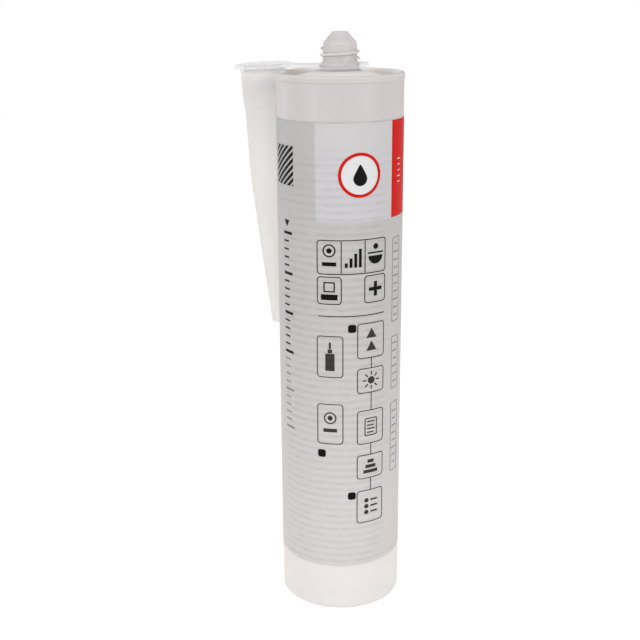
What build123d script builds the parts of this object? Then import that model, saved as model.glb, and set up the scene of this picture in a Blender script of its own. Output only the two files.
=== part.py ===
from build123d import *
import math
import os

# A 310 ml sealant cartridge, standing on its open rear end, with its nozzle hung on the neck.
# Sizes are in millimetres. Z is the barrel's axis, Z = 0 is its rear edge, and the nozzle hangs
# on the -X side.

# Barrel
barrel_diameter = 49.0
barrel_length = 216.5
barrel_wall = 1.35
rear_bore_depth = 10.0
rear_bore_relief = 0.25
rear_edge_rounding = 0.4

# Front rim and the groove inside it
rim_bead_proud = 0.3
rim_bead_height = 2.6
rim_wall = 1.9
rim_rounding = 0.8
groove_depth = 2.4
groove_width = 2.4
groove_rounding = 0.8

# Shoulder and neck
shoulder_angle = 14.5
shoulder_wall = 1.7
neck_seat_width = 1.4
neck_foot_diameter = 14.8
neck_foot_height = 2.7
neck_foot_bevel = 1.2
neck_diameter = 13.2
neck_height = 14.85
neck_taper = 0.2
neck_wall = 1.7
neck_rounding = 0.5
neck_shoulder_rounding = 1.3
tip_diameter = 5.7
tip_height = 4.05
tip_wall = 1.4
tip_rounding = 0.6

# Thread on the neck, right-handed
thread_diameter = 15.0
thread_pitch = 2.5
thread_turns = 1.62
thread_start = 4.75
thread_crest = 0.6
thread_base = 1.9
thread_root_sink = 0.4

# Piston
piston_setback = 12.0
piston_length = 16.0
piston_clearance = 0.06
piston_lip_height = 2.6
piston_lip_depth = 0.8
piston_wall = 1.5
piston_web = 2.0
piston_ribs = 6
piston_rib_thickness = 1.2
piston_rib_height = 6.0
piston_hub_radius = 6.5
piston_hub_wall = 1.3

# Fill
fill_clearance = 0.1
fill_skin = 0.05

# Label film
label_bottom = 19.8
label_height = 180.0
label_film = 0.12
label_skin = 0.02

# Nozzle, hung by the eyelet, which sits askew on the neck with its strap over the rim
nozzle_gap = 1.01
strap_tilt = 1.6
strap_twist = 2.6
strap_clearance = 0.58
strap_width = 9.0
strap_rounding = 5.0
plate_thickness = 1.2
plate_rounding = 0.35
eyelet_diameter = 22.2
eyelet_clearance = 0.4
flange_diameter = 22.4
flange_rounding = 1.0
collar_length = 15.7
collar_diameter = 18.3
collar_taper = 0.35
collar_step = 0.4
tube_end = 45.4
tube_end_diameter = 16.3
tube_bend_radius = 110.0
nozzle_length = 107.0
nozzle_tip_diameter = 7.2
nozzle_wall = 1.2
socket_clearance = 0.1
socket_depth = 14.5

barrel_radius = barrel_diameter / 2
bore_radius = barrel_radius - barrel_wall
rear_bore_radius = bore_radius + rear_bore_relief
rim_radius = barrel_radius + rim_bead_proud
rim_inner_radius = barrel_radius - rim_wall

cone_slope = math.tan(math.radians(shoulder_angle))
cone_radius = rim_inner_radius - groove_width
groove_floor = barrel_length - groove_depth
neck_radius = neck_diameter / 2
neck_foot_radius = neck_foot_diameter / 2
seat_radius = neck_foot_radius + neck_seat_width
seat_level = groove_floor + (cone_radius - seat_radius) * cone_slope
neck_bore_radius = neck_radius - neck_wall
neck_end = barrel_length + neck_height
neck_shoulder = neck_end - tip_height
neck_shoulder_radius = neck_radius - neck_taper
tip_radius = tip_diameter / 2
tip_bore_radius = tip_radius - tip_wall

ceiling = groove_floor - shoulder_wall
cone_rise = (cone_radius - neck_bore_radius) * cone_slope

piston_front = piston_setback + piston_length
piston_travel = ceiling - piston_front - 2 * fill_clearance

thread_radius = thread_diameter / 2
thread_level = barrel_length + thread_start

label_inner_radius = barrel_radius + label_skin
label_radius = label_inner_radius + label_film

# Nozzle radii, and levels measured from the underside of its plate
collar_top = collar_diameter / 2
collar_end = collar_top - collar_taper
tube_top = collar_end - collar_step
tube_low = tube_end_diameter / 2
nozzle_tip = nozzle_tip_diameter / 2
socket_radius = thread_radius + socket_clearance
flange_radius = flange_diameter / 2
collar_level = plate_thickness - collar_length
socket_level = plate_thickness - socket_depth
bend_level = plate_thickness - tube_end
end_level = plate_thickness - nozzle_length

# The strap is just long enough to hold the leaning nozzle clear of the labelled barrel, and the
# eyelet is lifted until the strap clears the rim and the eyelet the seat.
slope = math.radians(strap_tilt)
twist = math.radians(strap_twist)
strap_reach = max(
    radius + (label_radius + nozzle_gap - level * math.sin(slope)) / math.cos(slope)
    for radius, level in ((collar_end, collar_level), (tube_low, bend_level), (nozzle_tip, end_level))
)
rim_lift = barrel_length + rim_radius * math.tan(slope) + strap_width / 2 * math.tan(twist)
seat_lift = seat_level + seat_radius * math.hypot(math.tan(slope), math.tan(twist))
eyelet_lift = strap_clearance + max(rim_lift, seat_lift)


def lathe(points, rounds=()):
    """Turn a closed (radius, height) section about Z, after rounding some of its corners."""
    section = make_face(Polyline(*points, close=True))
    for corner, radius in rounds:
        nearest = section.vertices().sort_by_distance(Vector(*corner))[0]
        section = fillet(nearest, radius)
    return revolve(Plane.XZ * section, Axis.Z)


def make_thread():
    """Trapezoid ridge swept along a helix, its base sunk into the tapered neck."""
    helix = Helix(
        pitch=thread_pitch,
        height=thread_pitch * thread_turns,
        radius=neck_radius,
        center=(0, 0, thread_level),
    )
    base = -neck_taper - thread_root_sink
    crest = thread_radius - neck_radius
    ridge = make_face(
        Polyline(
            (base, -thread_base / 2),
            (crest, -thread_crest / 2),
            (crest, thread_crest / 2),
            (base, thread_base / 2),
            close=True,
        )
    )
    start = Plane(origin=helix @ 0, x_dir=(1, 0, 0), z_dir=helix % 0)
    return sweep(start * ridge, path=helix, is_frenet=True)


def make_cartridge():
    """Barrel, rim, shoulder and closed neck in one wall, with the thread on the neck."""
    rear_inner = (rear_bore_radius, 0)
    rear_outer = (barrel_radius, 0)
    rim_outer = (rim_radius, barrel_length)
    rim_inner = (rim_inner_radius, barrel_length)
    groove_outer = (rim_inner_radius, groove_floor)
    neck_foot = (neck_foot_radius, seat_level)
    foot_edge = (neck_foot_radius, barrel_length + neck_foot_height)
    neck_root = (neck_radius, barrel_length + neck_foot_height + neck_foot_bevel)
    neck_bend = (neck_shoulder_radius, neck_shoulder)
    tip_edge = (tip_radius, neck_end)
    bead_foot = barrel_length - rim_bead_height
    shell = lathe(
        [
            rear_inner,
            rear_outer,
            (barrel_radius, bead_foot),
            (rim_radius, bead_foot + rim_bead_proud),
            rim_outer,
            rim_inner,
            groove_outer,
            (cone_radius, groove_floor),
            (seat_radius, seat_level),
            neck_foot,
            foot_edge,
            neck_root,
            neck_bend,
            tip_edge,
            (0, neck_end),
            (0, neck_end - tip_wall),
            (tip_bore_radius, neck_end - tip_wall),
            (neck_bore_radius - neck_taper, neck_shoulder),
            (neck_bore_radius, ceiling + cone_rise),
            (cone_radius, ceiling),
            (bore_radius, ceiling),
            (bore_radius, rear_bore_depth + rear_bore_relief),
            (rear_bore_radius, rear_bore_depth),
        ],
        [
            (rear_outer, rear_edge_rounding),
            (rim_outer, rim_rounding),
            (rim_inner, rim_rounding),
            (groove_outer, groove_rounding),
            (neck_foot, neck_rounding),
            (foot_edge, neck_rounding),
            (neck_root, neck_rounding),
            (neck_bend, neck_shoulder_rounding),
            (tip_edge, tip_rounding),
        ],
    )
    return shell + make_thread()


def make_piston():
    """Cup with a lip at each end of its skirt, a coned face and ribs behind it."""
    lip = bore_radius - piston_clearance
    waist = lip - piston_lip_depth
    inside = waist - piston_wall
    waist_low = piston_lip_height + piston_lip_depth
    waist_high = piston_length - piston_lip_height - piston_lip_depth
    nose = piston_length + cone_rise
    web_level = piston_length - piston_web
    cup = lathe(
        [
            (inside, 0),
            (lip, 0),
            (lip, piston_lip_height),
            (waist, waist_low),
            (waist, waist_high),
            (lip, piston_length - piston_lip_height),
            (lip, piston_length),
            (cone_radius, piston_length),
            (neck_bore_radius, nose),
            (0, nose),
            (0, nose - piston_web),
            (neck_bore_radius, nose - piston_web),
            (cone_radius, web_level),
            (inside, web_level),
        ]
    )
    rib_level = web_level - piston_rib_height
    into_web = piston_web / 2
    into_skirt = piston_wall / 2
    hub_rise = (cone_radius - piston_hub_radius) * cone_slope
    hub_inner = piston_hub_radius - piston_hub_wall
    hub = lathe(
        [
            (hub_inner, rib_level),
            (piston_hub_radius, rib_level),
            (piston_hub_radius, web_level + hub_rise + into_web),
            (hub_inner, web_level + hub_rise + into_web),
        ]
    )
    rib_face = make_face(
        Polyline(
            (piston_hub_radius - piston_hub_wall / 2, rib_level),
            (inside + into_skirt, rib_level),
            (inside + into_skirt, web_level + into_web),
            (cone_radius, web_level + into_web),
            (piston_hub_radius - piston_hub_wall / 2, web_level + hub_rise + into_web),
            close=True,
        )
    )
    rib = extrude(Plane.XZ * rib_face, amount=piston_rib_thickness / 2, both=True)
    ribs = [place * rib for place in PolarLocations(0, piston_ribs)]
    return Pos(0, 0, piston_setback) * (cup + hub + ribs)


def make_sealant():
    """Fill between the piston's face and the underside of the shoulder."""
    low = piston_front + fill_clearance
    high = ceiling - fill_clearance
    edge = bore_radius - fill_skin
    return lathe(
        [
            (0, low + cone_rise),
            (neck_bore_radius, low + cone_rise),
            (cone_radius, low),
            (edge, low),
            (edge, high),
            (cone_radius, high),
            (neck_bore_radius, high + cone_rise),
            (0, high + cone_rise),
        ]
    )


def make_label():
    """Printed film wrapped once round the barrel."""
    top = label_bottom + label_height
    return lathe(
        [
            (label_inner_radius, label_bottom),
            (label_radius, label_bottom),
            (label_radius, top),
            (label_inner_radius, top),
        ]
    )


def make_nozzle():
    """Hollow cone with a collar and flange, joined by a flat strap to the eyelet on the neck."""
    collar_foot = (collar_top, 0)
    tube_bend = (tube_low, bend_level)
    body = lathe(
        [
            (0, plate_thickness),
            (flange_radius, plate_thickness),
            (flange_radius, 0),
            collar_foot,
            (collar_end, collar_level),
            (tube_top, collar_level - collar_step),
            tube_bend,
            (nozzle_tip, end_level),
            (0, end_level),
        ],
        [(collar_foot, flange_rounding), (tube_bend, tube_bend_radius)],
    )
    passage = lathe(
        [
            (0, plate_thickness),
            (socket_radius, plate_thickness),
            (socket_radius, socket_level),
            (tube_top - nozzle_wall, socket_level - nozzle_wall),
            (tube_low - nozzle_wall, bend_level),
            (nozzle_tip - nozzle_wall, end_level),
            (0, end_level),
        ]
    )

    eyelet = Circle(eyelet_diameter / 2)
    strap = Pos(-strap_reach / 2, 0) * Rectangle(strap_reach, strap_width)
    outline = eyelet + strap + Pos(-strap_reach, 0) * Circle(flange_radius)
    corners = outline.vertices().filter_by(lambda v: abs(abs(v.Y) - strap_width / 2) < 0.01)
    outline = fillet(corners, strap_rounding)
    plate = extrude(outline, amount=plate_thickness)
    plate_edges = plate.edges().group_by(Axis.Z)
    plate = fillet(plate_edges[0] + plate_edges[-1], plate_rounding)

    neck_hole = Cylinder(neck_foot_radius + eyelet_clearance, 4 * plate_thickness)
    at_nozzle = Pos(-strap_reach, 0, 0)
    nozzle = plate + at_nozzle * body - at_nozzle * passage - neck_hole
    return Pos(0, 0, eyelet_lift) * Rot(strap_twist, -strap_tilt, 0) * nozzle


parts = {
    "cartridge": make_cartridge(),
    "piston": make_piston(),
    "sealant": make_sealant(),
    "label": make_label(),
    "nozzle": make_nozzle(),
}

os.makedirs("parts", exist_ok=True)
for name, solid in parts.items():
    export_step(solid, f"parts/{name}.step")

print(f"fill {parts['sealant'].volume / 1000:.1f} ml, piston travel {piston_travel:.2f} mm")
print(f"strap reach {strap_reach:.3f} mm, eyelet lift {eyelet_lift:.3f} mm")
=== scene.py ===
# %% [markdown]
# A tube of sealant stands on its open end, with its nozzle hung upside down on the neck.
# The CAD model already holds every solid at its real size, so this lesson starts from that
# frame and adds what the eye sees: cloudy polyethylene, a printed film, and soft studio light.
# Everything is in metres, and +Z is up.

# %% Load the frame
import math

import bmesh
import bpy
from mathutils import Matrix, Vector


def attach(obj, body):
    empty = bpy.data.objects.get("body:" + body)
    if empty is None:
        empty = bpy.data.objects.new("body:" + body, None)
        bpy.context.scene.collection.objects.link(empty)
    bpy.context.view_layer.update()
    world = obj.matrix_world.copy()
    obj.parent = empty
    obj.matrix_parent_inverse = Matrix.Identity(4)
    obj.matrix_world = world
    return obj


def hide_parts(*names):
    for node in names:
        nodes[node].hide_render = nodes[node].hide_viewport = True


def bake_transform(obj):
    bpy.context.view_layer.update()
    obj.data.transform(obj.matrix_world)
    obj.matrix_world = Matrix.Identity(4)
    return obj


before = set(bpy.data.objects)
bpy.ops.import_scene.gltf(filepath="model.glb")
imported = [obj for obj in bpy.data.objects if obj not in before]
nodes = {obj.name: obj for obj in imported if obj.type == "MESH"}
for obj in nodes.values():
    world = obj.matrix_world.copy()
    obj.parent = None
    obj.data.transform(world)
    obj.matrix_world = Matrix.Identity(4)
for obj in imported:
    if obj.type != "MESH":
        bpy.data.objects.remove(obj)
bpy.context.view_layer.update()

MM = 0.001

# %% [markdown]
# The camera comes first, because every later choice is judged through it. It could be placed by
# eye, but the outlines of the barrel, its rim and the edges of its label fix where the photograph
# was taken from: about 42 cm away, a little above the rim, looking down. The nozzle points along
# -X, and the camera stands 30 degrees round from the side view, so the nozzle shows behind the
# left edge.

# %% Camera
PHOTO_SIZE = 640
SENSOR_WIDTH = 36.0
CAMERA_REACH = 421.2 * MM
CAMERA_HEIGHT = 247.8 * MM
CAMERA_AZIMUTH = math.radians(30.0)
CAMERA_YAW = math.radians(-1.11)
CAMERA_PITCH = math.radians(16.28)
CAMERA_ROLL = math.radians(-0.37)
CAMERA_NEAR = 0.01
FOCAL_PIXELS = 1085.0
OPTICAL_ROW = 302.8

facing = Vector((math.sin(CAMERA_AZIMUTH), -math.cos(CAMERA_AZIMUTH), 0.0))


def photo_camera():
    """Camera at the photograph's place, with its lens, tilt and framing."""
    data = bpy.data.cameras.new("photo_camera")
    data.sensor_width = SENSOR_WIDTH
    data.lens = FOCAL_PIXELS * SENSOR_WIDTH / PHOTO_SIZE
    data.shift_y = (OPTICAL_ROW - PHOTO_SIZE / 2) / PHOTO_SIZE
    data.clip_start = CAMERA_NEAR
    turn = Matrix.Rotation(CAMERA_AZIMUTH - CAMERA_YAW, 4, "Z")
    tilt = Matrix.Rotation(math.radians(90.0) - CAMERA_PITCH, 4, "X")
    roll = Matrix.Rotation(CAMERA_ROLL, 4, "Z")
    place = Matrix.Translation(facing * CAMERA_REACH + Vector((0.0, 0.0, CAMERA_HEIGHT)))
    camera = bpy.data.objects.new("photo_camera", data)
    camera.matrix_world = place @ turn @ tilt @ roll
    bpy.context.scene.collection.objects.link(camera)
    bpy.context.scene.camera = camera
    return camera


camera = photo_camera()
print(f"camera at {camera.matrix_world.translation}, lens {camera.data.lens:.1f} mm")

# %% [markdown]
# Every finish here is a tree of shader nodes. Its formulas could be built with dozens of node
# calls, but they are easier to read as arithmetic. So a Wire stands for one output socket, and
# adding or multiplying Wires adds the Math nodes.


# %% Shader arithmetic
class Wire:
    """One shader socket that can be added, multiplied and compared like a number."""

    def __init__(self, sheet, socket):
        self.sheet = sheet
        self.socket = socket

    def math(self, operation, *others):
        return self.sheet.math(operation, self, *others)

    def __add__(self, other):
        return self.math("ADD", other)

    def __radd__(self, other):
        return self.math("ADD", other)

    def __sub__(self, other):
        return self.math("SUBTRACT", other)

    def __rsub__(self, other):
        return self.sheet.math("SUBTRACT", other, self)

    def __mul__(self, other):
        return self.math("MULTIPLY", other)

    def __rmul__(self, other):
        return self.math("MULTIPLY", other)

    def __truediv__(self, other):
        return self.math("DIVIDE", other)

    def __rtruediv__(self, other):
        return self.sheet.math("DIVIDE", other, self)

    def clamp(self):
        return self.math("MINIMUM", 1.0).math("MAXIMUM", 0.0)

    def past(self, edge, soft):
        """Nought before an edge and one behind it, with a soft change of this width between."""
        return ((self - edge) / soft + 0.5).clamp()

    def within(self, low, high, soft):
        """One between two edges and nought outside them."""
        return self.past(low, soft) * (1.0 - self.past(high, soft))


print("a Wire takes + - * / with other Wires and with numbers")

# %% [markdown]
# A Sheet is the node tree of one material or of the world. One method makes any node, so that each
# finish reads as a list of settings and sockets. Noise and places use Object coordinates, which
# stay on a piece when it moves.


# %% Node trees
class Sheet:
    """The node tree of one material, or of the world."""

    def __init__(self, name, world=False):
        self.owner = (bpy.data.worlds if world else bpy.data.materials).new(name)
        self.owner.use_nodes = True
        self.output = "ShaderNodeOutputWorld" if world else "ShaderNodeOutputMaterial"
        self.tree = self.owner.node_tree
        self.tree.nodes.clear()

    def add(self, kind, settings=None, sockets=None, output=0):
        """Any node: its settings first, then a value or a Wire for each socket."""
        node = self.tree.nodes.new(kind)
        for key, value in (settings or {}).items():
            setattr(node, key, value)
        for key, value in (sockets or {}).items():
            if isinstance(value, Wire):
                self.tree.links.new(value.socket, node.inputs[key])
            else:
                node.inputs[key].default_value = value
        return Wire(self, node.outputs[output])

    def math(self, operation, *values):
        return self.add("ShaderNodeMath", {"operation": operation}, dict(enumerate(values)))

    def noise(self, scale, detail=2.0, stretch=(1.0, 1.0, 1.0)):
        """Noise on Object coordinates, from 0 to 1, with its own stretch along each axis."""
        spot = self.add("ShaderNodeTexCoord", output="Object")
        spot = self.add("ShaderNodeMapping", {}, {"Vector": spot, "Scale": stretch})
        sockets = {"Vector": spot, "Scale": scale, "Detail": detail}
        return self.add("ShaderNodeTexNoise", {}, sockets)

    def mix(self, factor, first, second):
        """Colour between two colours, by a factor from 0 to 1."""
        sockets = {"Factor": factor, 6: first, 7: second}
        return self.add("ShaderNodeMix", {"data_type": "RGBA"}, sockets, output=2)

    def place(self, axis):
        """One axis of the object's own coordinates, in metres."""
        spot = self.add("ShaderNodeTexCoord", output="Object")
        return self.add("ShaderNodeSeparateXYZ", {}, {"Vector": spot}, output=axis)

    def finish(self, shader):
        node = self.tree.nodes.new(self.output)
        self.tree.links.new(shader.socket, node.inputs["Surface"])
        return self.owner


print("a Sheet adds any node, mixes colours and reads Object coordinates")

# %% [markdown]
# Colours are easiest to judge as a picture shows them, from 0 to 255, but shaders count in linear
# light. A small function turns one into the other, and a second one makes a darker shade.


# %% Colours
def srgb(red, green, blue):
    """Colour as read from a picture, 0 to 255, turned into the linear light that shaders use."""
    parts = []
    for part in (red, green, blue):
        share = part / 255.0
        parts.append(share / 12.92 if share <= 0.04045 else ((share + 0.055) / 1.055) ** 2.4)
    return (*parts, 1.0)


def shaded(colour, share):
    """The same colour at a share of its brightness."""
    return tuple(part * share for part in colour[:3]) + (1.0,)


print("grey 128 in linear light is", round(srgb(128, 128, 128)[0], 3))

# %% [markdown]
# Natural polyethylene is cloudy: light enters, scatters and leaves again. White paint would look
# dead and glass far too clear, so subsurface scattering copies it, with soft clouds in the colour
# and a bump so faint that it only breaks the highlights. A zone gives the plastic another colour
# above a certain height, and a ring keeps the zone between two radii.


# %% Cloudy plastic
CLOUD_SCALE = 35.0
CLOUD_SHADE = 0.97
FLOW_SCALE = 60.0
FLOW_STRETCH = (6.0, 6.0, 0.25)
RING_FADE = 0.8


def reach(sheet):
    """Distance from the object's own Z axis, in metres."""
    x = sheet.place("X")
    y = sheet.place("Y")
    return (x * x + y * y).math("SQRT")


def zone_share(sheet, line, fade, ring):
    """One above a line and, if there is a ring, between its radii; all in millimetres."""
    share = sheet.place("Z").past(line * MM, fade * MM)
    if ring:
        inner, outer, soft = ring
        share = share * reach(sheet).past(inner * MM, RING_FADE * MM)
        share = share * (1.0 - reach(sheet).past(outer * MM, soft * MM))
    return share


def polyethylene(sheet, colour, zones=(), gloss=0.36, solid=1.0):
    """Cloudy plastic and its bump; a zone is a line, the depth of its fade, a colour and a ring."""
    clouds = sheet.noise(CLOUD_SCALE, detail=3.0)
    flow = sheet.noise(FLOW_SCALE, stretch=FLOW_STRETCH)
    tone = sheet.mix(clouds, shaded(colour, CLOUD_SHADE), colour)
    for line, fade, upper, ring in zones:
        above = sheet.mix(clouds, shaded(upper, CLOUD_SHADE), upper)
        tone = sheet.mix(zone_share(sheet, line, fade, ring), tone, above)
    relief = {"Strength": 0.05, "Distance": 0.4 * MM, "Height": clouds * 0.5 + flow * 0.5}
    bump = sheet.add("ShaderNodeBump", {}, relief)
    plastic = sheet.add(
        "ShaderNodeBsdfPrincipled",
        {},
        {
            "Base Color": tone,
            "Roughness": gloss + clouds * 0.06,
            "Alpha": solid,
            "IOR": 1.45,
            "Subsurface Weight": 1.0,
            "Subsurface Radius": (1.0, 0.97, 0.94),
            "Subsurface Scale": 2.0 * MM,
            "Normal": bump,
        },
    )
    return plastic, bump


def paint(node, material):
    """Give a CAD node its finish."""
    node.data.materials.clear()
    node.data.materials.append(material)
    print(f"{material.name} on the {node.name}")


print("clouds of about", round(1000.0 / CLOUD_SCALE), "mm in the plastic")

# %% [markdown]
# The barrel's colour is painted darker where grey paste stands behind its wall, and painted lighter
# in the empty skirt below the piston, where light comes through it: painted light, partly the
# paste's own grey. A see-through wall could show that, but it takes many more bounces of light. The
# two zones never trade places, because the label hides all the wall that the piston uncovers, so
# the wall's colour simply changes with height. The channel round the neck is painted lighter, as
# light reaching it through the rim would make it, and the seat under the clear eyelet is painted
# lightest of all, which lifts the shade that the eyelet casts there.

# %% Barrel and piston
FILL_LINE = 24.0
FILL_FADE = 2.0
CHANNEL_LINE = 212.0
CHANNEL_FADE = 1.0
CHANNEL_RING = (8.2, 23.4, 0.4)
SEAT_RING = (8.0, 14.5, 11.0)
PISTON_GLOSS = 0.42

# Painted light: darker above the fill line, lighter in the channel ring and lightest in the seat
# ring, lifting the shade round the neck.
barrel_zones = [
    (FILL_LINE, FILL_FADE, srgb(208, 203, 202), None),
    (CHANNEL_LINE, CHANNEL_FADE, srgb(236, 231, 229), CHANNEL_RING),
    (CHANNEL_LINE, CHANNEL_FADE, srgb(252, 246, 243), SEAT_RING),
]
barrel_sheet = Sheet("natural_polyethylene")
plastic, _ = polyethylene(barrel_sheet, srgb(242, 235, 231), barrel_zones)
paint(nodes["cartridge"], barrel_sheet.finish(plastic))

piston_sheet = Sheet("piston_polyethylene")
plastic, _ = polyethylene(piston_sheet, srgb(246, 244, 241), gloss=PISTON_GLOSS)
paint(nodes["piston"], piston_sheet.finish(plastic))

# %% [markdown]
# The nozzle is thinner. Most of the light that meets its tube passes the wall and scatters on the
# other side, so the tube looks evenly bright all round. Transmission would bend the light as glass
# does, so a Translucent shader is mixed in, which scatters it. The flat plate is clear instead:
# part of each ray goes straight through its front faces, by their Alpha.

# %% Nozzle
COLLAR_LINE = 194.0
COLLAR_FADE = 24.0
PLATE_LINE = 215.2
PLATE_FADE = 1.2
PLATE_CLEAR = 0.5
TUBE_THROUGH = 0.8

# Painted shade: the collar is darker above the collar line, over a long fade, where the socket and
# its thread let less light through the wall.
nozzle_zones = [
    (COLLAR_LINE, COLLAR_FADE, srgb(226, 225, 227), None),
    (PLATE_LINE, PLATE_FADE, srgb(212, 211, 212), None),
]
nozzle_sheet = Sheet("nozzle_polyethylene")
behind = nozzle_sheet.add("ShaderNodeNewGeometry", output="Backfacing")
plate = zone_share(nozzle_sheet, PLATE_LINE, PLATE_FADE, None)
solid = (1.0 - behind * plate) * (1.0 - plate * PLATE_CLEAR)
plastic, bump = polyethylene(nozzle_sheet, srgb(252, 251, 250), nozzle_zones, solid=solid)
through = nozzle_sheet.add(
    "ShaderNodeBsdfTranslucent", {}, {"Color": srgb(250, 249, 248), "Normal": bump}
)
share = (1.0 - plate) * TUBE_THROUGH
plastic = nozzle_sheet.add("ShaderNodeMixShader", {}, {0: share, 1: plastic, 2: through})
nozzle_plastic = nozzle_sheet.finish(plastic)
paint(nodes["nozzle"], nozzle_plastic)

# %% [markdown]
# New pieces start as a bmesh, a mesh that is still being edited. A round one could begin as a
# cylinder, but a section spun once round the axis gives every radius directly. Each piece then has
# its doubled vertices merged and its normals turned outwards, and sharp edges stay sharp.

# %% Lathe
MERGE = 1e-7
SMOOTH_ANGLE = math.radians(35.0)


def new_piece(name, shape, material):
    """Merge, orient and hand a bmesh over to a new object with its material."""
    bmesh.ops.remove_doubles(shape, verts=shape.verts, dist=MERGE)
    bmesh.ops.recalc_face_normals(shape, faces=shape.faces)
    mesh = bpy.data.meshes.new(name)
    shape.to_mesh(mesh)
    shape.free()
    mesh.shade_smooth()
    mesh.set_sharp_from_angle(angle=SMOOTH_ANGLE)
    mesh.materials.append(material)
    piece = bpy.data.objects.new(name, mesh)
    bpy.context.scene.collection.objects.link(piece)
    print(f"{name}: {len(mesh.polygons)} faces")
    return piece


def lathe(section, steps):
    """Spin a chain of (radius, height) points in millimetres once round Z."""
    shape = bmesh.new()
    corners = [shape.verts.new((radius * MM, 0.0, height * MM)) for radius, height in section]
    chain = [shape.edges.new(pair) for pair in zip(corners, corners[1:])]
    bmesh.ops.spin(
        shape,
        geom=corners + chain,
        cent=(0.0, 0.0, 0.0),
        axis=(0.0, 0.0, 1.0),
        angle=math.tau,
        steps=steps,
        use_merge=True,
    )
    return shape


print("edges sharper than", round(math.degrees(SMOOTH_ANGLE)), "degrees stay sharp")

# %% [markdown]
# The paste fills the barrel between the piston and the shoulder, so it has to shorten when the
# piston rises. A shape key could do it, but a solid of revolution with vertices only at its two
# ends needs none: when its ends move together, the straight wall between them just gets
# shorter.

# %% Sealant
FILL_RADIUS = 23.1
FILL_CONE = 20.2
FILL_NECK = 4.9
FILL_LOW = 28.1
FILL_HIGH = 212.28
FILL_RISE = (FILL_CONE - FILL_NECK) * math.tan(math.radians(14.5))
FILL_STEPS = 64


def paste(name, colour):
    """Smooth paste with a slight swirl in its colour and gloss."""
    sheet = Sheet(name)
    swirl = sheet.noise(90.0, detail=3.0)
    tone = sheet.mix(swirl, shaded(colour, 0.92), colour)
    looks = {"Base Color": tone, "Roughness": 0.3 + swirl * 0.1}
    return sheet.finish(sheet.add("ShaderNodeBsdfPrincipled", {}, looks))


fill_section = [
    (0.0, FILL_LOW + FILL_RISE),
    (FILL_NECK, FILL_LOW + FILL_RISE),
    (FILL_CONE, FILL_LOW),
    (FILL_RADIUS, FILL_LOW),
    (FILL_RADIUS, FILL_HIGH),
    (FILL_CONE, FILL_HIGH),
    (FILL_NECK, FILL_HIGH + FILL_RISE),
    (0.0, FILL_HIGH + FILL_RISE),
]
sealant_paste = paste("sealant_paste", srgb(186, 183, 181))
fill = new_piece("sealant_fill", lathe(fill_section, FILL_STEPS), sealant_paste)
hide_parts("sealant")
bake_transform(fill)

# %% [markdown]
# The label is a printed film, wrapped once round the barrel and lapped over itself at the back.
# A plain tube would do for the film, but not for its lap, so it is made the way a real one is: as a
# flat blank, which is then rolled onto the cylinder. Across the blank runs s, the distance round
# the barrel from the middle of the side seen here, and up it runs z. The same rolling step serves
# for the print.

# %% Rolled blanks
LABEL_RADIUS = 24.52
LABEL_FILM = 0.12
LABEL_BOTTOM = 19.8
LABEL_TOP = 199.8
LABEL_LAP = 6.0
LABEL_MIDDLE = math.radians(-60.0)
LABEL_STRIPS = 168
LAP_START = 4.0
LAP_RAMP = 3.0
LAP_LIFT = 0.16
ROUND = math.tau * LABEL_RADIUS


def roll(shape, radius):
    """Roll a flat blank, in millimetres, onto a cylinder; its own height becomes thickness."""
    for vert in shape.verts:
        s, z, thick = vert.co
        lap = min(1.0, max(0.0, (s - ROUND / 2 + LAP_START) / LAP_RAMP))
        away = radius + thick + LAP_LIFT * lap
        angle = LABEL_MIDDLE + s / LABEL_RADIUS
        vert.co = Vector((away * math.cos(angle), away * math.sin(angle), z)) * MM


def thicken(shape, thick):
    """Extrude the flat faces of a blank and lift the new ones."""
    made = bmesh.ops.extrude_face_region(shape, geom=list(shape.faces))
    raised = [item for item in made["geom"] if isinstance(item, bmesh.types.BMVert)]
    bmesh.ops.translate(shape, verts=raised, vec=(0.0, 0.0, thick))


def label_blank():
    """The film: one long strip, cut across often enough to bend smoothly."""
    shape = bmesh.new()
    width = ROUND + LABEL_LAP
    height = LABEL_TOP - LABEL_BOTTOM
    middle = Matrix.Translation((LABEL_LAP / 2, (LABEL_TOP + LABEL_BOTTOM) / 2, 0.0))
    bmesh.ops.create_grid(
        shape,
        x_segments=LABEL_STRIPS,
        y_segments=1,
        size=0.5,
        matrix=middle @ Matrix.Diagonal((width, height, 1.0, 1.0)),
    )
    thicken(shape, LABEL_FILM)
    roll(shape, LABEL_RADIUS)
    return shape


print(f"label blank {ROUND + LABEL_LAP:.1f} x {LABEL_TOP - LABEL_BOTTOM:.1f} mm")

# %% [markdown]
# The film's colours are its print, with some painted light, and an image would be the usual way to
# give them. Two numbers are enough here: the angle round the barrel, from the arctangent of the
# object's own X and Y, and the height. The header has a white and a red field with sharp edges, and
# the grey beside them fades into the ground below, which is painted a little lighter towards the
# foot, as light from the white floor would make it. Faint broken rows run across it.

# %% Label film
HEADER_FOOT = 163.0 * MM
HEADER_EDGE = 0.25 * MM
HEADER_FADE = 26.0 * MM
PAINTED_LIGHT_LINE = 85.0 * MM
PAINTED_LIGHT_FADE = 95.0 * MM
WHITE_FROM, RED_FROM, RED_TO = -22.0, 52.0, 168.0
FIELD_EDGE = 0.5
ROW_PITCH = 2.9 * MM
ROWS_FROM, ROWS_TO = -62.0, 44.0
ROWS_TOP = 188.0 * MM
ROWS_FADE = 8.0 * MM
FILM_GLINT = 0.08
INK_RED = srgb(203, 22, 12)


def turn_round(sheet, middle):
    """Angle round Z in degrees, from -180 to 180, with nought at the angle called middle."""
    ahead = sheet.place("X") * math.cos(middle) + sheet.place("Y") * math.sin(middle)
    aside = sheet.place("Y") * math.cos(middle) - sheet.place("X") * math.sin(middle)
    return aside.math("ARCTAN2", ahead) * math.degrees(1.0)


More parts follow.
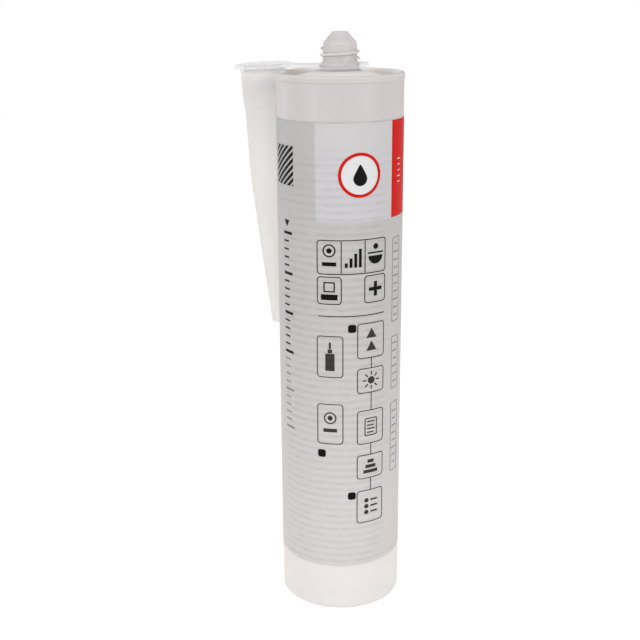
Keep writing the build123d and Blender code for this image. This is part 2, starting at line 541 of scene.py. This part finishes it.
def faint_rows(sheet, height, across):
    """Soft stripes across the side seen here, broken up by noise."""
    stripe = (height / ROW_PITCH).math("FRACT").within(0.3, 0.7, 0.4)
    breaks = sheet.noise(240.0, detail=1.0, stretch=(1.0, 1.0, 3.0)).past(0.48, 0.16)
    span = across.past(ROWS_FROM, 10.0) * (1.0 - across.past(ROWS_TO, 16.0))
    return stripe * (0.45 + 0.55 * breaks) * span * (1.0 - height.past(ROWS_TOP, ROWS_FADE))


def film(name):
    """Printed film: ground, rows, white field and red field, each laid over the one before."""
    sheet = Sheet(name)
    height = sheet.place("Z")
    across = turn_round(sheet, LABEL_MIDDLE)
    grain = sheet.noise(120.0)
    # Painted light: the ground and its rows are lighter towards the foot, where light from the
    # floor would reach them.
    rise = height.past(PAINTED_LIGHT_LINE, PAINTED_LIGHT_FADE)
    head = height.past(HEADER_FOOT, HEADER_EDGE)
    veil = height.past(HEADER_FOOT, HEADER_FADE)
    rows = faint_rows(sheet, height, across)
    ground = sheet.mix(rise, srgb(214, 210, 208), srgb(194, 190, 189))
    ground = sheet.mix(veil, ground, srgb(186, 183, 183))
    lined = sheet.mix(rise, srgb(201, 198, 197), srgb(180, 177, 177))
    white_field = sheet.mix(rows, srgb(200, 198, 199), srgb(187, 187, 191))
    white_share = across.within(WHITE_FROM, RED_FROM, FIELD_EDGE) * head
    red_share = across.within(RED_FROM, RED_TO, FIELD_EDGE) * head
    tone = sheet.mix(white_share, sheet.mix(rows, ground, lined), white_field)
    looks = {
        "Base Color": sheet.mix(red_share, tone, INK_RED),
        "Roughness": 0.44 + grain * 0.06,
        "Specular IOR Level": FILM_GLINT,
    }
    return sheet.finish(sheet.add("ShaderNodeBsdfPrincipled", {}, looks))


label = new_piece("label_film", label_blank(), film("label_film"))
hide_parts("label")
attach(label, "cartridge")

# %% [markdown]
# Ink lies on the film in plates so thin that only their colour shows. Sharp little shapes would
# need many shader nodes, so they are meshes: each one starts as a flat square or circle from a
# bmesh operator, is rounded, hollowed or cut, and joins one sheet for each ink. The sheets are
# drawn flat, in millimetres, and rolled onto the film at the end.

# %% Ink shapes
CORNER_STEPS = 4


class Ink:
    """A flat sheet of shapes in one ink, in millimetres: s across the blank and z up it."""

    def __init__(self):
        self.shape = bmesh.new()

    def bar(self, s, z, width, height, corner=0.0, turn=0.0):
        """A rectangle, with round corners where a corner radius is given."""
        place = Matrix.Translation((s, z, 0.0)) @ Matrix.Rotation(math.radians(turn), 4, "Z")
        made = bmesh.ops.create_grid(
            self.shape,
            x_segments=1,
            y_segments=1,
            size=0.5,
            matrix=place @ Matrix.Diagonal((width, height, 1.0, 1.0)),
        )
        if corner:
            made = bmesh.ops.bevel(
                self.shape,
                geom=made["verts"],
                offset=corner,
                segments=CORNER_STEPS,
                profile=0.5,
                affect="VERTICES",
                material=-1,
            )
        return made["verts"][0].link_faces[0]

    def disc(self, s, z, radius, sides=36, turn=0.0):
        """A circle, or a triangle if it has three sides."""
        place = Matrix.Translation((s, z, 0.0)) @ Matrix.Rotation(math.radians(turn), 4, "Z")
        made = bmesh.ops.create_circle(
            self.shape, cap_ends=True, segments=sides, radius=radius, matrix=place
        )
        return made["verts"][0].link_faces[0]

    def hollow(self, face, line):
        """Leave only a line along the edge of a shape."""
        bmesh.ops.inset_individual(self.shape, faces=[face], thickness=line, use_even_offset=True)
        bmesh.ops.delete(self.shape, geom=[face], context="FACES")

    def cut(self, faces, point, normal):
        """Cut away what lies on the normal's side of a line."""
        parts = set(faces)
        for face in faces:
            parts.update(face.edges)
            parts.update(face.verts)
        made = bmesh.ops.bisect_plane(
            self.shape, geom=list(parts), plane_co=point, plane_no=normal, clear_outer=True
        )
        left = [item for item in made["geom"] if isinstance(item, bmesh.types.BMFace)]
        return [face for face in left if face.is_valid]


dark, grey, pale, red, white = Ink(), Ink(), Ink(), Ink(), Ink()
print("five sheets of ink: dark, grey, pale, red and white")

# %% [markdown]
# The header carries one round mark, a red ring on white with a drop in it. A drop could be drawn as
# a curve, but a circle whose upper half is pulled up to a point is quicker.

# %% Header mark
MARK_S, MARK_Z = 7.6, 180.6
MARK_RADIUS = 8.4
MARK_RING = 1.15
MARK_WHITE = 7.15
MARK_SIDES = 64
DROP_RADIUS = 2.7
DROP_PULL = 2.6
DROP_PINCH = 0.55
DROP_SINK = 1.3
DROP_SIDES = 48


def drop(sheet, s, z):
    """A fan of triangles whose upper half is pulled up to a point."""
    made = bmesh.ops.create_circle(
        sheet.shape, cap_ends=True, cap_tris=True, segments=DROP_SIDES, radius=DROP_RADIUS
    )
    for vert in made["verts"]:
        rise = max(0.0, vert.co.y / DROP_RADIUS)
        vert.co.y += DROP_PULL * rise**2
        vert.co.x *= 1.0 - DROP_PINCH * rise**2
    bmesh.ops.translate(sheet.shape, verts=made["verts"], vec=(s, z, 0.0))


red.hollow(red.disc(MARK_S, MARK_Z, MARK_RADIUS, sides=MARK_SIDES), MARK_RING)
white.disc(MARK_S, MARK_Z, MARK_WHITE, sides=MARK_SIDES)
drop(dark, MARK_S, MARK_Z - DROP_SINK)
print(f"mark {2 * MARK_RADIUS:.1f} mm across, with a drop in it")

# %% [markdown]
# A hatched swatch stands in the header's grey field. Each slanted bar could be drawn to its own
# length, but it is simpler to draw them all too long and cut them off square with four bisecting
# planes. A few thin white bars stand on the red field.

# %% Swatch and white bars
SWATCH_S, SWATCH_Z = -25.5, 183.0
SWATCH_WIDE, SWATCH_HIGH = 12.0, 15.0
HATCH_BARS = 13
HATCH_STEP = 2.5
HATCH_LINE = 1.15
HATCH_LONG = 30.0
HATCH_TURN = 40.0

bars = []
for count in range(HATCH_BARS):
    level = SWATCH_Z - SWATCH_HIGH + HATCH_STEP * count
    bars.append(dark.bar(SWATCH_S, level, HATCH_LONG, HATCH_LINE, turn=HATCH_TURN))
for side in (-1, 1):
    edge = (SWATCH_S + side * SWATCH_WIDE / 2, 0.0, 0.0)
    bars = dark.cut(bars, edge, (side, 0.0, 0.0))
    edge = (0.0, SWATCH_Z + side * SWATCH_HIGH / 2, 0.0)
    bars = dark.cut(bars, edge, (0.0, side, 0.0))
for count in range(5):
    white.bar(27.6, 185.0 - 2.2 * count, 2.9 - 0.5 * (count % 3), 0.34)
print(f"{len(bars)} bars are left in the swatch")

# %% [markdown]
# Down the left runs a scale like those that show how much is left, with a long tick at every
# fifth step. A row of ticks is a loop over bars. Its upper end is bold and dark, and its lower end
# is fine and pale.

# %% Scale
SCALE_S = -26.0
SCALE_TOP = 157.0
SCALE_STEP = 3.2
SCALE_TICKS = 26
SCALE_BOLD = 16
FINE_SHARE = 0.7

for count in range(SCALE_TICKS):
    length, weight = (5.4, 1.1) if count % 5 == 0 else (3.4, 0.65)
    level = SCALE_TOP - SCALE_STEP * count
    if count < SCALE_BOLD:
        dark.bar(SCALE_S + length / 2, level, length, weight)
    else:
        pale.bar(SCALE_S + length / 2, level, length, weight * FINE_SHARE)
dark.disc(SCALE_S + 2.2, SCALE_TOP + 4.2, 1.9, sides=3, turn=180.0)
print(f"scale of {SCALE_TICKS} ticks, {SCALE_BOLD} of them bold")

# %% [markdown]
# To the right of the scale stand framed signs for handling, drawn with nothing but discs, bars,
# rings and triangles. Each sign is a small function that draws round its own middle, so that it can
# be put into any frame and on any sheet of ink. The upper ones are in dark ink.

# %% Upper signs
LINE = 0.34
FRAME_CORNER = 1.4
TOP_ROW = 149.6
SECOND_ROW = 136.6
LEFT_S, MIDDLE_S, RIGHT_S = -4.2, 5.0, 14.2


def framed(sheet, s, z, width, height):
    sheet.hollow(sheet.bar(s, z, width, height, corner=FRAME_CORNER), LINE)


def sign_rings(sheet, s, z):
    sheet.hollow(sheet.disc(s, z + 2.6, 2.5), 0.5)
    sheet.disc(s, z + 2.6, 1.0)
    sheet.bar(s, z - 2.6, 5.4, 1.5)


def sign_steps(sheet, s, z):
    for count in range(4):
        sheet.bar(s - 2.7 + 1.8 * count, z - 4.0 + 0.9 * (count + 1), 1.1, 1.8 * (count + 1))


def sign_half(sheet, s, z):
    half = sheet.disc(s, z, 3.2)
    sheet.cut([half], (0.0, z, 0.0), (0.0, 1.0, 0.0))
    sheet.bar(s, z + 1.2, 7.0, 0.6)
    sheet.disc(s, z + 3.6, 1.1)


def sign_plus(sheet, s, z):
    sheet.bar(s, z, 1.4, 5.8)
    for side in (-1, 1):
        sheet.bar(s + side * 1.8, z, 2.2, 1.4)


def sign_tile(sheet, s, z):
    sheet.bar(s, z - 2.6, 6.4, 2.2)
    sheet.hollow(sheet.bar(s, z + 1.4, 4.4, 4.0), 0.5)


framed(dark, MIDDLE_S, TOP_ROW, 28.0, 13.4)
for s, sign in ((LEFT_S, sign_rings), (MIDDLE_S, sign_steps), (RIGHT_S, sign_half)):
    sign(dark, s, TOP_ROW)
for s in (0.4, 9.6):
    dark.bar(s, TOP_ROW, LINE, 12.4)
for s, sign in ((RIGHT_S, sign_plus), (LEFT_S, sign_tile)):
    framed(dark, s, SECOND_ROW, 9.6, 11.0)
    sign(dark, s, SECOND_ROW)
dark.bar(MIDDLE_S, 126.4, 27.0, LINE)
print("five signs in the upper group")

# %% [markdown]
# The lower signs are in grey ink and hang in two columns. They could share the dark ink, but they
# look finer and paler than the upper ones. Lines join the frames of the right column, and three
# small dark squares stand beside the columns.

# %% Lower signs
LEFT_COLUMN = -4.0
RIGHT_COLUMN = 12.6


def sign_arrows(sheet, s, z):
    for lift in (-2.8, 2.4):
        sheet.disc(s, z + lift, 2.6, sides=3)


def sign_dots(sheet, s, z):
    for row in (-1, 0, 1):
        sheet.disc(s - 1.8, z + 2.6 * row, 0.95, sides=24)
        sheet.bar(s + 1.6, z + 2.6 * row, 3.2, 0.7)


def sign_sun(sheet, s, z):
    sheet.disc(s, z, 1.5, sides=24)
    for turn in range(0, 360, 45):
        across = 2.9 * math.cos(math.radians(turn))
        up = 2.9 * math.sin(math.radians(turn))
        sheet.bar(s + across, z + up, 1.5, 0.5, turn=turn)


def sign_sheet(sheet, s, z):
    sheet.hollow(sheet.bar(s, z, 5.6, 7.6, corner=0.6), 0.4)
    for count in range(4):
        sheet.bar(s - 0.2 * (count % 2), z + 2.2 - 1.5 * count, 3.4 - 0.4 * (count % 2), 0.5)


def sign_tube(sheet, s, z):
    sheet.bar(s, z - 2.2, 3.6, 7.0)
    sheet.bar(s, z + 2.3, 1.7, 1.6)
    sheet.bar(s, z + 4.6, 0.8, 2.6)


def sign_stack(sheet, s, z):
    for count in range(3):
        sheet.bar(s, z - 2.2 + 2.2 * count, 6.4 - 1.8 * count, 1.4)


RIGHT_SIGNS = (
    (116.0, 14.4, sign_arrows),
    (80.0, 14.4, sign_sheet),
    (45.5, 14.4, sign_dots),
    (99.6, 10.4, sign_sun),
    (63.0, 10.4, sign_stack),
)
LEFT_SIGNS = ((110.0, sign_tube), (82.0, sign_rings))
for z, height, sign in RIGHT_SIGNS:
    framed(grey, RIGHT_COLUMN, z, 12.0, height)
    sign(grey, RIGHT_COLUMN, z)
for z, length in ((106.8, 4.0), (90.8, 7.2), (70.5, 4.6), (55.2, 5.1)):
    grey.bar(RIGHT_COLUMN, z, LINE, length)
for z, sign in LEFT_SIGNS:
    framed(grey, LEFT_COLUMN, z, 10.4, 17.0)
    sign(grey, LEFT_COLUMN, z)
for s, z in ((-7.4, 69.4), (4.6, 121.4), (4.6, 50.9)):
    dark.bar(s, z, 3.2, 3.2, corner=0.9)
print(f"{len(RIGHT_SIGNS) + len(LEFT_SIGNS)} signs in the lower group")

# %% [markdown]
# At the right edge stand three narrow tables in pale ink. A frame and a few short bars in it are
# enough, because only their tone is seen from here.

# %% Tables
TABLES = ((138.0, 34.0), (104.0, 22.0), (72.0, 30.0))
TABLE_LINE = 0.26
TABLE_STEP = 3.2

for z, height in TABLES:
    pale.hollow(pale.bar(26.2, z, 5.6, height, corner=0.8), TABLE_LINE)
    rows = int(height / 3.4)
    for count in range(rows):
        level = z + (count - (rows - 1) / 2) * TABLE_STEP
        pale.bar(26.0, level, 2.6 + (count % 3) * 0.6, 0.45)
print(f"{len(TABLES)} tables")

# %% [markdown]
# Now the sheets of ink go onto the film. A flat plate would stand off a round barrel, so each sheet
# is first sliced every 1.5 mm, which lets long plates bend with it, then thickened and rolled. The
# inks lie in layers, white at the bottom and dark at the top.

# %% Roll on the ink
INK = 0.02
SLICE = 1.5
SLICE_MERGE = 1e-4


def ink(name, colour):
    """Satin ink with a little grain."""
    sheet = Sheet(name)
    grain = sheet.noise(150.0)
    looks = {
        "Base Color": sheet.mix(grain, shaded(colour, 0.95), colour),
        "Roughness": 0.36 + grain * 0.06,
        "Specular IOR Level": FILM_GLINT,
    }
    return sheet.finish(sheet.add("ShaderNodeBsdfPrincipled", {}, looks))


def roll_on(sheet, name, material, layer):
    """Slice a sheet, thicken it and roll it on as one of the layers of ink."""
    shape = sheet.shape
    s_values = [vert.co.x for vert in shape.verts]
    s = math.ceil(min(s_values) / SLICE) * SLICE
    while s < max(s_values):
        parts = list(shape.verts) + list(shape.edges) + list(shape.faces)
        bmesh.ops.bisect_plane(
            shape, geom=parts, plane_co=(s, 0, 0), plane_no=(1, 0, 0), dist=SLICE_MERGE
        )
        s += SLICE
    thicken(shape, INK)
    roll(shape, LABEL_RADIUS + LABEL_FILM + INK * layer)
    piece = new_piece(name, shape, material)
    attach(piece, "cartridge")


roll_on(dark, "print_dark", ink("ink_dark", srgb(12, 11, 12)), layer=3)
roll_on(grey, "print_grey", ink("ink_grey", srgb(58, 56, 56)), layer=3)
roll_on(pale, "print_pale", ink("ink_pale", srgb(132, 129, 128)), layer=3)
roll_on(red, "print_red", ink("ink_red", INK_RED), layer=2)
roll_on(white, "print_white", ink("ink_white", srgb(222, 221, 221)), layer=1)

# %% [markdown]
# The hanging nozzle will be screwed onto the neck, so its socket has a thread of its own. A Screw
# modifier could draw it, but a spin that also moves along its axis does the same in one operator:
# a small section becomes a helix. The whole ridge is then tipped the same way as the nozzle hangs.

# %% Thread in the nozzle
STRAP_REACH = 35.045
EYELET_LIFT = 218.097
STRAP_TILT = math.radians(-1.6)
STRAP_TWIST = math.radians(2.6)
SOCKET_RADIUS = 7.6
THREAD_PITCH = 2.5
THREAD_TURNS = 2.0
THREAD_STEPS = 72
THREAD_DEPTH = 0.6
THREAD_SINK = 0.15
THREAD_LEVEL = 9.5
THREAD_FOOT = 0.8
THREAD_FLAT = 0.25


def socket_thread():
    """A ridge inside the socket, its foot sunk a little into the socket's wall."""
    shape = bmesh.new()
    root = SOCKET_RADIUS + THREAD_SINK
    crest = SOCKET_RADIUS - THREAD_DEPTH
    section = (
        (root, -THREAD_FOOT), (crest, -THREAD_FLAT), (crest, THREAD_FLAT), (root, THREAD_FOOT)
    )
    corners = []
    for radius, height in section:
        corners.append(shape.verts.new((radius * MM, 0.0, (height - THREAD_LEVEL) * MM)))
    ring = [shape.edges.new(pair) for pair in zip(corners, corners[1:] + corners[:1])]
    made = bmesh.ops.spin(
        shape,
        geom=corners + ring,
        cent=(0.0, 0.0, 0.0),
        axis=(0.0, 0.0, 1.0),
        dvec=(0.0, 0.0, THREAD_PITCH * THREAD_TURNS / THREAD_STEPS * MM),
        angle=math.tau * THREAD_TURNS,
        steps=THREAD_STEPS,
    )
    last = [item for item in made["geom_last"] if isinstance(item, bmesh.types.BMEdge)]
    for end in (ring, last):
        bmesh.ops.contextual_create(shape, geom=end)
    hang = (
        Matrix.Translation((0.0, 0.0, EYELET_LIFT * MM))
        @ Matrix.Rotation(STRAP_TWIST, 4, "X")
        @ Matrix.Rotation(STRAP_TILT, 4, "Y")
        @ Matrix.Translation((-STRAP_REACH * MM, 0.0, 0.0))
    )
    bmesh.ops.transform(shape, matrix=hang, verts=shape.verts)
    return shape


thread = new_piece("nozzle_thread", socket_thread(), nozzle_plastic)
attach(thread, "nozzle")

# %% [markdown]
# A studio table is a big pale surface under even light. White paint alone comes out grey beside a
# white backdrop, so the floor also glows a little where it is seen: directly, through clear plastic
# or in a reflection. That lifts it to the white of the backdrop and still lets the tube's own soft
# shadow darken it.

# %% Floor
FLOOR_SIZE = 3.0
FLOOR_PAINT = (0.8, 0.8, 0.8, 1.0)
FLOOR_GLOW = (0.42, 0.42, 0.42, 1.0)
NO_GLOW = (0.0, 0.0, 0.0, 1.0)


def studio_floor():
    shape = bmesh.new()
    bmesh.ops.create_grid(shape, x_segments=1, y_segments=1, size=FLOOR_SIZE / 2)
    mesh = bpy.data.meshes.new("floor")
    shape.to_mesh(mesh)
    shape.free()
    floor = bpy.data.objects.new("floor", mesh)
    bpy.context.scene.collection.objects.link(floor)
    sheet = Sheet("floor_white")
    seen = sheet.add("ShaderNodeLightPath", output="Is Camera Ray")
    through = sheet.add("ShaderNodeLightPath", output="Is Transmission Ray")
    mirrored = sheet.add("ShaderNodeLightPath", output="Is Glossy Ray")
    shown = (seen + through + mirrored).clamp()
    plain = sheet.add("ShaderNodeBsdfDiffuse", {}, {"Color": FLOOR_PAINT})
    glow = sheet.add("ShaderNodeEmission", {}, {"Color": sheet.mix(shown, NO_GLOW, FLOOR_GLOW)})
    surface = sheet.add("ShaderNodeAddShader", {}, {0: plain, 1: glow})
    mesh.materials.append(sheet.finish(surface))


studio_floor()
print(f"floor {FLOOR_SIZE} m square")

# %% [markdown]
# The even light round the tube is the world. It is plain white where the camera sees it, also
# through clear plastic. As a lamp it is dimmer, and it fades from the camera's side to the far
# side, as in a room whose light stands behind the photographer.

# %% World
WORLD_FRONT = 0.96
WORLD_BACK = 0.47
WORLD_TURN = math.radians(-3.0)


def studio_world():
    sheet = Sheet("studio", world=True)
    seen = sheet.add("ShaderNodeLightPath", output="Is Camera Ray")
    through = sheet.add("ShaderNodeLightPath", output="Is Transmission Ray")
    shown = seen.math("MAXIMUM", through)
    way = sheet.add("ShaderNodeTexCoord", output="Generated")
    light_side = Matrix.Rotation(WORLD_TURN, 3, "Z") @ facing
    front = sheet.add(
        "ShaderNodeVectorMath",
        {"operation": "DOT_PRODUCT"},
        {0: way, 1: light_side},
        output="Value",
    )
    lamp = WORLD_BACK + (front * 0.5 + 0.5) * (WORLD_FRONT - WORLD_BACK)
    level = lamp * (1.0 - shown) + shown
    sky = sheet.add(
        "ShaderNodeBackground", {}, {"Color": (1.0, 1.0, 1.0, 1.0), "Strength": level}
    )
    bpy.context.scene.world = sheet.finish(sky)


studio_world()
print(f"world light {WORLD_FRONT} in front and {WORLD_BACK} behind")

# %% [markdown]
# Two tall softboxes, one to each side of the camera, add the pale streaks down the barrel. A low,
# weak one behind the left edge keeps that edge from going dark. Strip lamps are area lamps: their
# size on the barrel sets how wide a streak is.

# %% Softboxes
SOFTBOX_DISTANCE = 0.9
SOFTBOX_WIDTH = 0.22
AIM_HEIGHT = 0.12
SOFTBOXES = (
    ("softbox_left", -50.0, 0.3, 1.1, 2.6),
    ("softbox_right", 50.0, 0.3, 1.1, 2.8),
    ("softbox_edge", -118.0, 0.08, 0.3, 0.4),
)


def softbox(name, turn, level, tall, power):
    """Strip lamp at an angle round from the camera, in degrees, that faces the tube."""
    data = bpy.data.lights.new(name, "AREA")
    data.shape = "RECTANGLE"
    data.size = SOFTBOX_WIDTH
    data.size_y = tall
    data.energy = power
    lamp = bpy.data.objects.new(name, data)
    spot = Matrix.Rotation(math.radians(turn), 3, "Z") @ facing * SOFTBOX_DISTANCE
    lamp.location = (spot.x, spot.y, level)
    aim = Vector((0.0, 0.0, AIM_HEIGHT)) - lamp.location
    lamp.rotation_euler = aim.to_track_quat("-Z", "Y").to_euler()
    bpy.context.scene.collection.objects.link(lamp)


for name, turn, level, tall, power in SOFTBOXES:
    softbox(name, turn, level, tall, power)
bpy.context.scene.view_settings.view_transform = "Standard"
print("lamps:", ", ".join(name for name, *rest in SOFTBOXES))
